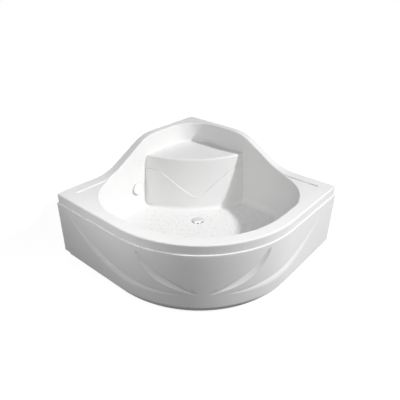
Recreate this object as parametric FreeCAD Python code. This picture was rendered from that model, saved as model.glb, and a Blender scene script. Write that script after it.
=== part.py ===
"""Deep quadrant shower base: acrylic shell with a corner seat, bowed apron, frame, feet and waste."""
import FreeCAD, Part
import math
import os

V = FreeCAD.Vector
ROOT2 = math.sqrt(2)

# Outline of the base, seen from above
SIDE = 1000.0              # length along each wall
FRONT_R = 550.0            # radius of the bowed front
SIDE_CORNER_R = 14.0       # upright edge where the front meets a wall
BACK_CORNER_R = 15.0       # upright edge in the corner of the room

# Heights above the bathroom floor
RIM_H = 370.0              # rim at the front
BACK_H = 525.0             # rim in the corner of the room
SEAT_H = 414.0             # top of the seat
FLOOR_H = 113.0            # floor of the basin

# Shell
SHEET = 6.0                # acrylic with its backing
SKIRT = 46.0               # depth of the rim's outer skirt
WALL_RIM = 56.0            # width of the rim beside a wall, at RIM_H
FRONT_RIM = 62.0           # width of the rim at the front, at RIM_H
BASIN_DRAFT = 3.5          # lean of the basin's walls, degrees
OPENING_SIDE_R = 290.0     # basin corners beside the walls
OPENING_BACK_R = 170.0     # basin corner behind the seat
FLOOR_FILLET = 34.0        # round between the basin's walls and floor
RIM_ROUND = 7.0            # round on the rim's edges
CLIMB_START = 235.0        # from a side corner to where the rim starts to climb
CLIMB_END = 650.0          # from a side corner to where the rim is level again
CLIMB_STRAIGHT = 165.0     # straight stretch in the middle of the climb
RECESS_STEP = 6.0          # from the basin's edge line to the corner recess's edge
RECESS_DEPTH = 4.5

# Seat
SEAT_REACH = 439.0         # from the corner of the room to the middle of the seat's front edge
SEAT_FRONT_R = 530.0       # bow of the seat's front edge
SEAT_SPREAD = 32.0         # how far the seat's foot stands in front of its top edge
WAVE_LOW = 194.0           # lowest point of the wave on the seat's front
WAVE_HIGH = 338.0          # where the wave levels out, beside the walls
WAVE_HALF_WIDTH = 226.0
WAVE_STRAIGHT = 196.0      # straight stretch on each side of the wave
WAVE_STEP = 5.0            # how far the panel below the wave stands proud
SEAT_ROUND = 9.0           # round on the seat's front edge
SEAT_FLARE = 22.0          # hollow round at the seat's foot
SEAT_BACK_FILLET = 6.0     # hollow round between the seat and the walls behind it

# Anti-slip bumps moulded in rings round the drain
BUMP_R = 9.0
BUMP_RISE = 3.0
BUMP_FIRST = 76.0          # radius of the first ring
BUMP_PITCH = 46.0          # between rings and along them
BUMP_MARGIN = 12.0         # clear of the rounds at the edge of the floor

# Apron
APRON_SHEET = 4.0
LEDGE = 6.0                # how far the apron stands proud of the skirt
LEDGE_ROUND = 3.0          # round on the ledge's outer edge
APRON_GAP = 1.0            # joint between the skirt and the apron's ledge
APRON_FLANGE = 26.0        # width of the apron's top flange
TOE_H = 38.0               # top of the set-back toe
TOE_SET_BACK = 18.0
TOE_END = 12.0             # toe's ends clear of the walls
TOE_CLEAR = 4.0            # toe above the bathroom floor
WALL_CLEAR = 3.0           # apron's ends clear of the walls
END_RETURN = 25.0          # apron's flanges along the walls

# Swept forms on the apron: distance along the face from its middle, and height
OUTER_GROOVE = [(765.0, 286.0), (560.0, 120.0), (380.0, 125.0), (100.0, 108.0)]
INNER_RIB = [(308.0, 296.0), (235.0, 190.0), (150.0, 165.0), (30.0, 114.0)]
GROOVE_WIDTH = 44.0
GROOVE_DEPTH = 12.0
GROOVE_STEEP = 0.3         # steep upper side, of the width
RIB_RISE = 35.0            # width of the slope above the rib's crest
RIB_FALL = 15.0            # width of the steeper side below it
RIB_HEIGHT = 8.0
SWEEP_TIP = 0.15           # width at the tips, of the full width
SWEEP_LEAN = 0.85          # below 1, the form is fullest nearer its upper tip
SWEEP_STATIONS = 9

# Frame
TUBE = 25.0
TUBE_WALL = 1.5
BOARD = 15.0               # board under the basin's floor
BOARD_MARGIN = 12.0        # board's edge inside the flat of the floor
SEAT_BOARD = 12.0
RAIL_AHEAD = 20.0          # main rail's middle, in front of the line between the side corners
RAIL_SPACING = 280.0       # from the main rail to the front rail
TIE_X = 150.0
SEAT_POST_X = 150.0
SEAT_POST_BACK = 327.0
BACK_POST_BACK = 105.0
SIDE_POST_IN = 78.0        # side posts, inside the front face's line
APRON_POST_IN = 45.0       # apron posts beside the walls, inside the front face's line
FRONT_POST_IN = 30.0       # apron posts on the front rail, inside the front face
RAIL_OVERHANG = 13.0       # rail past the middle of its outermost post
PAD = 3.0                  # rubber pads between posts and rim
BRACKET = 3.0
BRACKET_W = 36.0
BRACKET_CLEAR = 3.0
SCREW_R = 2.5
SCREW_CLEAR = 0.3
SCREW_HEAD_R = 5.0
SCREW_HEAD = 3.0
SCREW_BITE = 12.0
BOARD_SCREW_X = 190.0
BOARD_HOLE_CLEAR = 12.0    # round the waste body
PART_CLEAR = 0.1           # between pieces that are screwed or pushed together

# Feet
FOOT_PAD_R = 26.0
FOOT_PAD = 12.0            # top of the pad's sloping face
FOOT_EDGE = 4.0            # height of the pad's edge
FOOT_HUB_R = 10.0
FOOT_HUB = 16.0            # top of the pad's hub
STUD_LOW = 6.0             # lower end of the stud
STUD_R = 6.0
STUD_CLEAR = 0.3
SOCKET_R = 12.0
SOCKET = 18.0
SOCKET_PLATE = 3.0
NUT_ACROSS = 19.0
LOCK_NUT = 8.0
STUD_ABOVE_SOCKET = 14.0
FOOT_IN = 40.0             # feet inside the ends of the rails

# Waste and trap
DRAIN_BACK = 591.0         # drain, from the corner of the room along the diagonal
DRAIN_HOLE_R = 26.0
FLANGE_R = 37.0
FLANGE = 2.0
UPPER_GASKET = 1.0
THROAT_LOW = 80.0          # lower end of the flange's throat
GUIDE = 9.0                # depth of the stem's guide
STEM_LOW = 71.0
PLUG_EDGE = 2.0
PLUG_CLEAR = 0.2
THROAT_R = 24.0
THROAT_WALL = 2.0
GASKET = 2.0
PLUG_R = 31.0
PLUG_DOME = 9.0
PLUG_SEAL = 2.0
STEM_R = 4.0
GUIDE_CLEAR = 0.3
WASTE_R = 33.0
WASTE_WALL = 3.0
WASTE_BOTTOM = 58.0        # underside of the waste body
TRAP_R = 55.0
TRAP_WALL = 3.0
TRAP_BOTTOM = 11.0
DIP_R = 18.0
DIP_LOW = 28.0
BRANCH = 18.0              # length of the pipe sockets
SPIGOT = 22.0
NUT_STANDOFF = 6.0
TRAP_CAP_R = 40.0
TRAP_CAP = 5.0
PIPE_R = 20.0              # outlet pipe, outside
PIPE_WALL = 2.0
PIPE_TO_WALL = 60.0        # free end of the outlet pipe, from the right-hand wall
PIPE_COLLAR_R = 23.0
PIPE_COLLAR = 5.0          # stop for the socket that slides on the pipe
OUTLET_NUT_R = 27.0
OUTLET_NUT = 16.0

# Overflow on the left wall of the basin
OVERFLOW_ALONG = 537.0     # from the corner of the room along the wall
OVERFLOW_H = 238.0
KNOB_R = 33.0
KNOB = 11.0
KNOB_GAP = 2.0             # running gap behind the knob, which takes the water in
OVERFLOW_HOLE_R = 24.0
OVERFLOW_BODY_R = 30.0
OVERFLOW_BODY = 34.0
OVERFLOW_FLANGE = 2.0
OVERFLOW_THREAD = 18.0     # length of the ring's throat behind the wall's face
KNOB_WALL = 3.0
SPINDLE_R = 5.0
OVERFLOW_PIPE_R = 14.0
OVERFLOW_PIPE_WALL = 2.0
OVERFLOW_BEND_R = 45.0

# Places that follow from the sizes above
ARC_BACK = (SIDE - FRONT_R) * ROOT2                     # centre of the bowed front, from the corner
APRON_R = FRONT_R + LEDGE
CORNER_Y = (ARC_BACK + APRON_R + BACK_CORNER_R * (ROOT2 - 1)) / 2
ARC_Y = CORNER_Y - ARC_BACK
DRAFT_RUN = math.tan(math.radians(BASIN_DRAFT))
UNDERSIDE = FLOOR_H - SHEET                             # underside of the basin's floor
RAIL_TOP = UNDERSIDE - BOARD
RAIL_LOW = RAIL_TOP - TUBE
MAIN_RAIL_BACK = SIDE / ROOT2 + RAIL_AHEAD              # from the corner of the room along the diagonal
FRONT_RAIL_BACK = MAIN_RAIL_BACK + RAIL_SPACING
OVERFLOW_PIPE_H = (WASTE_BOTTOM + RAIL_TOP) / 2         # level run, between the trap and the board
APRON_TOP = RIM_H - SKIRT - APRON_GAP
SEAT_AXIS_Y = CORNER_Y - SEAT_REACH + SEAT_FRONT_R
DRAIN = V(0, CORNER_Y - DRAIN_BACK, 0)
OUTLET_WAY = V(1 / ROOT2, 1 / ROOT2, 0)                 # square to the right-hand wall
SPIGOT_R = PIPE_R - PIPE_WALL - PART_CLEAR              # trap's spigot, inside the outlet pipe
HALF_ARC = APRON_R * math.pi / 4                        # face length from the middle to a straight end
BEYOND = 100.0                                          # how far cutting tools run past the outline
NEAR = 0.1                                              # heights and reaches this close count as equal
TOUCH = 0.01                                            # points this close lie on a surface
HIGH = BACK_H + BEYOND


def save(name, shape):
    """Writes one node."""
    shape.exportStep("parts/%s.step" % name)


def line(start, end):
    return Part.LineSegment(start, end).toShape()


def arc(centre, radius, start, sweep, to_point):
    """Arc edge about a centre, in the plane that to_point(u, v) maps to; angles in degrees."""
    angles = [math.radians(start + sweep * k / 2.0) for k in range(3)]
    points = [to_point(centre[0] + radius * math.cos(a), centre[1] + radius * math.sin(a)) for a in angles]
    return Part.Arc(*points).toShape()


def to_room(shape):
    """Turns a shape drawn along the two walls, from the corner of the room, into the part's frame."""
    turned = shape.copy()
    turned.rotate(V(0, 0, 0), V(0, 0, 1), -135)
    turned.translate(V(0, CORNER_Y, 0))
    return turned


def rounded_square(z, low, high, back_r, side_r, front_r):
    """Outline along the two walls with its own radius at the back, side and front corners."""
    rounds = [
        (high - side_r, low + side_r, side_r, -90),
        (high - front_r, high - front_r, front_r, 0),
        (low + side_r, high - side_r, side_r, 90),
        (low + back_r, low + back_r, back_r, 180),
    ]
    arcs = [arc((x, y), r, start, 90, lambda u, v: V(u, v, z)) for x, y, r, start in rounds]
    edges = []
    for k, edge in enumerate(arcs):
        following = arcs[(k + 1) % len(arcs)]
        edges.append(edge)
        edges.append(line(edge.Vertexes[-1].Point, following.Vertexes[0].Point))
    return Part.Wire(edges)


def prism(wire, height):
    return Part.Face(wire).extrude(V(0, 0, height))


def s_curve(low, high, straight, to_point):
    """Arc, straight of a given length and arc that climb smoothly from low to high; both ends are level."""
    run = high[0] - low[0]
    rise = high[1] - low[1]
    direction = 1 if run > 0 else -1
    slope = 2 * math.atan(rise / (abs(run) + straight))
    sweep = direction * math.degrees(slope)
    radius = (abs(run) * math.sin(slope) - rise * math.cos(slope)) / (2 * (1 - math.cos(slope)))
    first = arc((low[0], low[1] + radius), radius, -90, sweep, to_point)
    last = arc((high[0], high[1] - radius), radius, 90 + sweep, -sweep, to_point)
    return [first, line(first.Vertexes[-1].Point, last.Vertexes[0].Point), last]


def ring(outer_r, inner_r, height, base):
    outer = Part.makeCylinder(outer_r, height, base)
    return outer.cut(Part.makeCylinder(inner_r, height, base))


def hexagon(across, height, base):
    """Upright hexagonal prism, measured across its flats."""
    reach = across / math.sqrt(3)
    turns = [k * math.pi / 3 for k in range(7)]
    points = [base + V(reach * math.cos(turn), reach * math.sin(turn), 0) for turn in turns]
    return prism(Part.makePolygon(points), height)


def rail(start, end):
    """Square tube between two points of its middle line, along X, Y or Z."""
    span = end - start
    lengths = [abs(span.x), abs(span.y), abs(span.z)]
    middle = (start + end) * 0.5
    outer_size = [n if n > 0 else TUBE for n in lengths]
    inner_size = [n if n > 0 else TUBE - 2 * TUBE_WALL for n in lengths]

    def box(size):
        return Part.makeBox(size[0], size[1], size[2], middle - V(*size) * 0.5)

    return box(outer_size).cut(box(inner_size))


def under_rim(drop):
    """Everything below the rim's surface lowered by drop: level at the front, climbing along both walls."""
    far = SIDE + BEYOND
    profile = []
    for along_x in (True, False):
        def to_point(u, v, along_x=along_x):
            return V(u, -BEYOND, v - drop) if along_x else V(-BEYOND, u, v - drop)

        climb = s_curve((SIDE - CLIMB_START, RIM_H), (SIDE - CLIMB_END, BACK_H), CLIMB_STRAIGHT, to_point)
        corners = [
            climb[-1].Vertexes[-1].Point,
            to_point(-BEYOND, BACK_H),
            to_point(-BEYOND, drop),
            to_point(far, drop),
            to_point(far, RIM_H),
            climb[0].Vertexes[0].Point,
        ]
        straight = [line(a, b) for a, b in zip(corners[:-1], corners[1:])]
        face = Part.Face(Part.Wire(Part.__sortEdges__(climb + straight)))
        profile.append(face.extrude(V(0, far + BEYOND, 0) if along_x else V(far + BEYOND, 0, 0)))
    return profile[0].common(profile[1])


def basin_outline(z, grow):
    """Outline of the basin at a height, grown outward."""
    inward = (RIM_H - z) * DRAFT_RUN - grow
    return rounded_square(
        z,
        WALL_RIM + inward,
        SIDE - FRONT_RIM - inward,
        OPENING_BACK_R - inward,
        OPENING_SIDE_R - inward,
        FRONT_R - FRONT_RIM - inward,
    )


def basin_block(floor, grow):
    """Solid of the basin's inside grown outward, from floor up past the rim, with a rounded foot."""
    block = Part.makeLoft([basin_outline(floor, grow), basin_outline(HIGH, grow)], True, True)
    foot = [e for e in block.Edges if e.BoundBox.ZMax < floor + NEAR]
    return to_room(block.makeFillet(FLOOR_FILLET + grow, foot))


def seat_cone(top, shrink):
    """Solid behind the seat's bowed, sloping front; shrink moves that front backward."""
    slope = SEAT_SPREAD / (SEAT_H - FLOOR_H)
    low_r = SEAT_FRONT_R + slope * SEAT_H - shrink
    top_r = SEAT_FRONT_R + slope * (SEAT_H - top) - shrink
    return Part.makeCone(low_r, top_r, top, V(0, SEAT_AXIS_Y, 0))


def below_wave():
    """Block under the wave line across the seat's front."""
    reach = SIDE

    def to_point(u, v):
        return V(u, -reach, v)

    right = s_curve((0, WAVE_LOW), (WAVE_HALF_WIDTH, WAVE_HIGH), WAVE_STRAIGHT, to_point)
    left = s_curve((0, WAVE_LOW), (-WAVE_HALF_WIDTH, WAVE_HIGH), WAVE_STRAIGHT, to_point)
    corners = [
        right[-1].Vertexes[-1].Point,
        to_point(reach, WAVE_HIGH),
        to_point(reach, 0),
        to_point(-reach, 0),
        to_point(-reach, WAVE_HIGH),
        left[-1].Vertexes[-1].Point,
    ]
    straight = [line(a, b) for a, b in zip(corners[:-1], corners[1:])]
    face = Part.Face(Part.Wire(Part.__sortEdges__(left + right + straight)))
    return face.extrude(V(0, 2 * reach, 0))


def on_skin(point, solid):
    return Part.Vertex(point).distToShape(solid.Shells[0])[0] < TOUCH


def shared_edges(shape, first, second, low):
    """Edges of a shape above a height that lie on the skins of two other solids."""
    found = []
    for edge in shape.Edges:
        middle = edge.valueAt((edge.FirstParameter + edge.LastParameter) / 2)
        if middle.z > low and on_skin(middle, first) and on_skin(middle, second):
            found.append(edge)
    return found


def level_edges(shape, z):
    """Edges that lie at one height all along."""
    return [e for e in shape.Edges if abs(e.BoundBox.ZMin - z) + abs(e.BoundBox.ZMax - z) < NEAR]


def seat_block(shrink):
    """Solid of the seat and the floor before it: sloping bowed front, rounded top edge and flared foot."""
    cone = seat_cone(SEAT_H, shrink)
    cone = cone.makeFillet(SEAT_ROUND, level_edges(cone, SEAT_H))
    slab_r = SEAT_FRONT_R + SEAT_SPREAD + 2 * SEAT_FLARE
    block = cone.fuse(Part.makeCylinder(slab_r, FLOOR_H, V(0, SEAT_AXIS_Y, 0)))
    foot = [e for e in level_edges(block, FLOOR_H) if e.BoundBox.XMax < slab_r - SEAT_FLARE / 2]
    return block.makeFillet(SEAT_FLARE, foot)


def rim_cap():
    """Rim with its outer skirt, hollow underneath, with a rounded outer edge."""
    surface = under_rim(0)
    outline = prism(rounded_square(0, 0, SIDE, BACK_CORNER_R, SIDE_CORNER_R, FRONT_R), HIGH)
    rounds = [BACK_CORNER_R - SHEET, SIDE_CORNER_R - SHEET, FRONT_R - SHEET]
    inside = prism(rounded_square(0, SHEET, SIDE - SHEET, *rounds), HIGH)
    cap = outline.common(surface)
    cap = cap.makeFillet(RIM_ROUND, shared_edges(cap, outline, surface, FLOOR_H))
    return to_room(cap.cut(inside.common(under_rim(SHEET))).cut(under_rim(SKIRT)))


def floor_bumps():
    """Low domes in rings round the drain, over the flat of the floor in front of the seat."""
    ball_r = (BUMP_R ** 2 + BUMP_RISE ** 2) / (2 * BUMP_RISE)
    dome = Part.makeSphere(ball_r, V(0, 0, FLOOR_H + BUMP_RISE - ball_r))
    dome = dome.common(Part.makeCylinder(2 * BUMP_R, BUMP_RISE + SHEET / 2, V(0, 0, FLOOR_H - SHEET / 2)))
    clear = BUMP_R + BUMP_MARGIN
    flat = to_room(prism(basin_outline(FLOOR_H, -FLOOR_FILLET - clear), SHEET))
    flat = flat.cut(seat_cone(2 * FLOOR_H, -SEAT_FLARE - clear))
    bumps = []
    ring_r = BUMP_FIRST
    while ring_r < SIDE:
        number = int(2 * math.pi * ring_r / BUMP_PITCH)
        for k in range(number):
            turn = 2 * math.pi * k / number
            spot = DRAIN + V(ring_r * math.cos(turn), ring_r * math.sin(turn), 0)
            if flat.isInside(spot + V(0, 0, FLOOR_H + SHEET / 2), TOUCH, True):
                bumps.append(dome.translated(spot))
        ring_r += BUMP_PITCH
    return bumps


def tray_shell():
    """Moulded shell: climbing rim, basin, corner seat with a wave across its front, and anti-slip floor."""
    surface = to_room(under_rim(0))
    bowl = basin_block(UNDERSIDE, SHEET).common(surface)
    bowl = bowl.cut(seat_cone(SEAT_H - SHEET, SHEET + WAVE_STEP))
    seat = seat_block(WAVE_STEP).fuse(seat_block(0).common(below_wave()))
    basin = basin_block(FLOOR_H, 0)
    hollow = basin.cut(seat)
    seat_back = [e for e in level_edges(hollow, SEAT_H) if e.BoundBox.YMax > CORNER_Y - SEAT_REACH / 2]
    hollow = hollow.makeFillet(SEAT_BACK_FILLET, seat_back)
    shell = rim_cap().fuse(bowl).cut(hollow)
    shell = shell.makeFillet(RIM_ROUND, shared_edges(shell, surface, basin, RIM_H - SHEET))
    shell = shell.cut(corner_recesses())
    shell = shell.fuse(floor_bumps())
    seat_depth = FLANGE + UPPER_GASKET
    seat_of_flange = DRAIN + V(0, 0, FLOOR_H - seat_depth)
    shell = shell.cut(Part.makeCylinder(DRAIN_HOLE_R, FLOOR_H, DRAIN))
    shell = shell.cut(Part.makeCylinder(FLANGE_R + PART_CLEAR, seat_depth, seat_of_flange))
    shell = shell.cut(on_left_wall(Part.makeCylinder(OVERFLOW_HOLE_R, 4 * SHEET, V(0, 0, -2 * SHEET))))
    return shell.removeSplitter()


def corner_recesses():
    """Shallow recesses in the rim where the basin's round corners leave it wide."""
    wall_edge = WALL_RIM + RECESS_STEP
    front_edge = SIDE - FRONT_RIM - RECESS_STEP
    arc_x = SIDE - FRONT_RIM - OPENING_SIDE_R
    tip_x = arc_x + math.sqrt(OPENING_SIDE_R ** 2 - (OPENING_SIDE_R - RECESS_STEP) ** 2)
    width = front_edge - tip_x
    left = Part.makeBox(width, width, HIGH, V(tip_x, wall_edge, 0))
    right = Part.makeBox(width, width, HIGH, V(wall_edge, tip_x, 0))
    return to_room(left.fuse(right).cut(under_rim(RECESS_DEPTH)))


def on_left_wall(shape):
    """Places a shape drawn round +Z on the left wall at the overflow, with +Z into the basin."""
    face_b = WALL_RIM + (RIM_H - OVERFLOW_H) * DRAFT_RUN
    turn = FreeCAD.Rotation(V(1, 0, 0), -90 + BASIN_DRAFT)
    placed = shape.copy()
    place = FreeCAD.Placement(V(OVERFLOW_ALONG, face_b, OVERFLOW_H), turn)
    placed.Placement = place.multiply(placed.Placement)
    return to_room(placed)


def front_band(outset, width, low, high):
    """Band that follows the front from wall to wall; outset is its outer face past the skirt's face."""
    outer = SIDE + outset
    inner = outer - width
    centre = SIDE - FRONT_R
    end = WALL_CLEAR

    def flat(u, v):
        return V(u, v, low)

    outer_arc = arc((centre, centre), outer - centre, 0, 90, flat)
    inner_arc = arc((centre, centre), inner - centre, 90, -90, flat)
    corners = [flat(inner, end), flat(outer, end), flat(outer, centre)]
    corners_far = [flat(centre, outer), flat(end, outer), flat(end, inner), flat(centre, inner)]
    edges = [line(a, b) for a, b in zip(corners[:-1], corners[1:])]
    edges += [outer_arc]
    edges += [line(a, b) for a, b in zip(corners_far[:-1], corners_far[1:])]
    edges += [inner_arc, line(flat(inner, centre), flat(inner, end))]
    return prism(Part.Wire(edges), high - low)


def face_point(along, z, out):
    """Point of the apron's face: distance along it from the middle, height, and how far outside it lies."""
    side = 1 if along >= 0 else -1
    turn = min(abs(along), HALF_ARC) / APRON_R
    normal = V(side * math.sin(turn), -math.cos(turn), 0)
    tangent = V(side * math.cos(turn), math.sin(turn), 0)
    straight = max(abs(along) - HALF_ARC, 0)
    return V(0, ARC_Y, z) + normal * (APRON_R + out) + tangent * straight


def bezier(points, t):
    """Point and direction on a cubic curve."""
    weights = [(1 - t) ** 3, 3 * t * (1 - t) ** 2, 3 * t ** 2 * (1 - t), t ** 3]
    slopes = [-3 * (1 - t) ** 2, 3 * (1 - t) * (1 - 3 * t), 3 * t * (2 - 3 * t), 3 * t ** 2]
    place = [sum(w * p[k] for w, p in zip(weights, points)) for k in (0, 1)]
    heading = [sum(w * p[k] for w, p in zip(slopes, points)) for k in (0, 1)]
    return place, heading


def sweep(route, side, profile):
    """Loft along a route on the apron's face; profile gives distances below the route and off the face."""
    sections = []
    for k in range(SWEEP_STATIONS):
        t = k / (SWEEP_STATIONS - 1.0)
        (along, z), (run, climb) = bezier(route, t)
        length = math.hypot(run, climb)
        down = (-climb / length, run / length)
        if down[1] > 0:
            down = (-down[0], -down[1])
        spots = profile(math.sin(math.pi * t ** SWEEP_LEAN))
        points = [face_point(side * (along + d * down[0]), z + d * down[1], out) for d, out in spots]
        sections.append(Part.makePolygon(points + points[:1]))
    return Part.makeLoft(sections, True, False)


def tapered(width, fullness):
    return width * (SWEEP_TIP + (1 - SWEEP_TIP) * fullness)


def groove_cut(fullness):
    """Hollow with a steep upper side and a broad slope below; it runs out of the face at its tips."""
    depth = GROOVE_DEPTH * fullness - (1 - fullness)
    broad = tapered(GROOVE_WIDTH, fullness)
    slope_end = broad * (1 + LEDGE / max(depth, 1.0))
    return [(0, LEDGE), (GROOVE_STEEP * broad, -depth), (slope_end, LEDGE)]


def groove_back(fullness):
    """Same form behind the face, thicker by the sheet."""
    depth = GROOVE_DEPTH * fullness + APRON_SHEET - (1 - fullness)
    broad = tapered(GROOVE_WIDTH, fullness)
    level = -APRON_SHEET / 2
    slope_end = broad * (1 + level / depth) + 2 * APRON_SHEET
    return [(-2 * APRON_SHEET, level), (GROOVE_STEEP * broad, -depth), (slope_end, level)]


def rib(fullness):
    """Slope that rises to a crest and falls away more steeply below it, rooted in the sheet."""
    root = -APRON_SHEET / 2
    crest = RIB_HEIGHT * fullness - (1 - fullness)
    return [(-tapered(RIB_RISE, fullness), root), (0, crest), (tapered(RIB_FALL, fullness), root)]


def ledge_edges(band):
    """Upper outer edges of a band that follows the front."""
    centre = SIDE - FRONT_R
    found = []
    for edge in level_edges(band, APRON_TOP):
        middle = edge.valueAt((edge.FirstParameter + edge.LastParameter) / 2)
        reach = centre + math.hypot(max(middle.x - centre, 0), max(middle.y - centre, 0))
        if reach > SIDE + LEDGE - NEAR:
            found.append(edge)
    return found


def apron_panel():
    """Bowed panel with a rounded ledge and a set-back toe; a groove and a rib sweep up each half."""
    under_ledge = APRON_TOP - APRON_SHEET
    wall = front_band(LEDGE, APRON_SHEET, TOE_H, under_ledge)
    flange = front_band(LEDGE, APRON_FLANGE, under_ledge, APRON_TOP)
    flange = flange.makeFillet(LEDGE_ROUND, ledge_edges(flange))
    step = front_band(LEDGE, TOE_SET_BACK + APRON_SHEET, TOE_H, TOE_H + APRON_SHEET)
    toe = front_band(LEDGE - TOE_SET_BACK, APRON_SHEET, TOE_CLEAR, TOE_H + APRON_SHEET)
    panel = wall.fuse([flange, step, toe])
    depth = under_ledge - TOE_H
    face = SIDE + LEDGE
    near = Part.makeBox(END_RETURN, APRON_SHEET, depth, V(face - END_RETURN, WALL_CLEAR, TOE_H))
    far = Part.makeBox(APRON_SHEET, END_RETURN, depth, V(WALL_CLEAR, face - END_RETURN, TOE_H))
    panel = panel.fuse([near, far])
    near_notch = Part.makeBox(BEYOND, TOE_END, TOE_H, V(face - BEYOND, 0, 0))
    far_notch = Part.makeBox(TOE_END, BEYOND, TOE_H, V(0, face - BEYOND, 0))
    panel = to_room(panel.cut([near_notch, far_notch]))
    sides = (-1, 1)
    panel = panel.fuse([sweep(OUTER_GROOVE, side, groove_back) for side in sides])
    panel = panel.fuse([sweep(INNER_RIB, side, rib) for side in sides])
    return panel.cut([sweep(OUTER_GROOVE, side, groove_cut) for side in sides]).removeSplitter()


def main_y():
    return CORNER_Y - MAIN_RAIL_BACK


def front_y():
    return CORNER_Y - FRONT_RAIL_BACK


def on_main_rail(inside):
    """Distance from the main rail's middle to a spot that lies inside the straight front by this much."""
    return (SIDE - inside) * ROOT2 - MAIN_RAIL_BACK


def on_front_rail(inside):
    """Distance from the front rail's middle to a spot that lies inside the bowed front by this much."""
    return math.sqrt((FRONT_R - inside) ** 2 - (front_y() - ARC_Y) ** 2)


def main_half():
    return on_main_rail(APRON_POST_IN) + RAIL_OVERHANG


def front_half():
    return on_front_rail(FRONT_POST_IN) + RAIL_OVERHANG


def feet():
    """Name and place of each adjustable foot."""
    main_x = main_half() - FOOT_IN
    front_x = front_half() - FOOT_IN
    seat_y = CORNER_Y - SEAT_POST_BACK
    return {
        "left": V(-main_x, main_y(), 0),
        "right": V(main_x, main_y(), 0),
        "front_left": V(-front_x, front_y(), 0),
        "front_right": V(front_x, front_y(), 0),
        "seat_left": V(-SEAT_POST_X, seat_y, 0),
        "seat_right": V(SEAT_POST_X, seat_y, 0),
        "back": V(0, CORNER_Y - BACK_POST_BACK, 0),
    }


def board_screw_spots():
    """Screws that hold the rails to the board, beside the ties."""
    return [V(side * BOARD_SCREW_X, y, 0) for side in (-1, 1) for y in (main_y(), front_y())]


def drilled(shape, spots, radius, low, high):
    """Drills upright holes at each spot."""
    return shape.cut([Part.makeCylinder(radius, high - low, V(p.x, p.y, low)) for p in spots])


def base_board():
    z = UNDERSIDE - BOARD
    board = to_room(prism(basin_outline(UNDERSIDE, -FLOOR_FILLET - BOARD_MARGIN), BOARD))
    board.translate(V(0, 0, z - UNDERSIDE))
    board = board.cut(seat_cone(UNDERSIDE, -BOARD_MARGIN))
    board = board.cut(Part.makeCylinder(WASTE_R + BOARD_HOLE_CLEAR, BOARD, DRAIN + V(0, 0, z)))
    return drilled(board, board_screw_spots(), SCREW_R + SCREW_CLEAR, z, z + SCREW_BITE)


def seat_board():
    top = SEAT_H - SHEET
    board = to_room(prism(basin_outline(top, -BOARD_MARGIN), SEAT_BOARD))
    board.translate(V(0, 0, -SEAT_BOARD))
    return board.common(seat_cone(top, SHEET + WAVE_STEP + BOARD_MARGIN))


def rails():
    """The four welded tubes under the board."""
    z = RAIL_LOW + TUBE / 2
    gap = V(0, TUBE / 2, 0)
    main = rail(V(-main_half(), main_y(), z), V(main_half(), main_y(), z))
    front = rail(V(-front_half(), front_y(), z), V(front_half(), front_y(), z))
    tubes = {}
    for name, tube in (("main_rail", main), ("front_rail", front)):
        tube = drilled(tube, feet().values(), STUD_R + STUD_CLEAR, RAIL_LOW, RAIL_LOW + TUBE / 2)
        tube = drilled(tube, board_screw_spots(), SCREW_R + SCREW_CLEAR, z, RAIL_TOP)
        tubes[name] = drilled(tube, board_screw_spots(), SCREW_HEAD_R + SCREW_CLEAR, RAIL_LOW, z)
    for name, x in (("tie_left", -TIE_X), ("tie_right", TIE_X)):
        tubes[name] = rail(V(x, front_y(), z) + gap, V(x, main_y(), z) - gap)
    return tubes


def rim_posts():
    """Posts under the rim and the seat."""
    side_x = on_main_rail(SIDE_POST_IN)
    spots = feet()
    heights = {
        "side_post_left": (V(-side_x, main_y(), 0), RAIL_TOP, RIM_H - SHEET - PAD),
        "side_post_right": (V(side_x, main_y(), 0), RAIL_TOP, RIM_H - SHEET - PAD),
        "back_post": (spots["back"], RAIL_LOW, BACK_H - SHEET - PAD),
        "seat_post_left": (spots["seat_left"], RAIL_LOW, SEAT_H - SHEET - SEAT_BOARD),
        "seat_post_right": (spots["seat_right"], RAIL_LOW, SEAT_H - SHEET - SEAT_BOARD),
    }
    return {name: rail(p + V(0, 0, low), p + V(0, 0, high)) for name, (p, low, high) in heights.items()}


def rim_pads():
    """Rubber pads on top of the rim's posts."""
    side_x = on_main_rail(SIDE_POST_IN)
    tops = [
        V(-side_x, main_y(), RIM_H - SHEET),
        V(side_x, main_y(), RIM_H - SHEET),
        feet()["back"] + V(0, 0, BACK_H - SHEET),
    ]
    return Part.makeCompound([Part.makeBox(TUBE, TUBE, PAD, p - V(TUBE / 2, TUBE / 2, PAD)) for p in tops])


def apron_post_places():
    """Each apron post: its spot, the apron's direction in degrees, and its distance inside the front."""
    main_x = on_main_rail(APRON_POST_IN)
    front_x = on_front_rail(FRONT_POST_IN)
    front_turn = math.degrees(math.atan2(front_y() - ARC_Y, front_x))
    return {
        "apron_post_left": (V(-main_x, main_y(), 0), -135, APRON_POST_IN),
        "apron_post_right": (V(main_x, main_y(), 0), -45, APRON_POST_IN),
        "apron_post_front_left": (V(-front_x, front_y(), 0), 180 - front_turn, FRONT_POST_IN),
        "apron_post_front_right": (V(front_x, front_y(), 0), front_turn, FRONT_POST_IN),
    }


def facing(shape, spot, turn):
    """Turns a shape drawn towards +X to face a direction and sets it on its spot."""
    turned = shape.copy()
    turned.rotate(V(0, 0, 0), V(0, 0, 1), turn)
    turned.translate(spot)
    return turned


def apron_screw_reach(inside):
    """Distance of the apron's screw from its post's middle: near the inner edge of the flange."""
    return inside + LEDGE - APRON_FLANGE + SCREW_HEAD_R + BRACKET_CLEAR


def apron_posts():
    top = APRON_TOP - APRON_SHEET - BRACKET
    tube = rail(V(0, 0, RAIL_TOP), V(0, 0, top))
    return {name: facing(tube, spot, turn) for name, (spot, turn, inside) in apron_post_places().items()}


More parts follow.
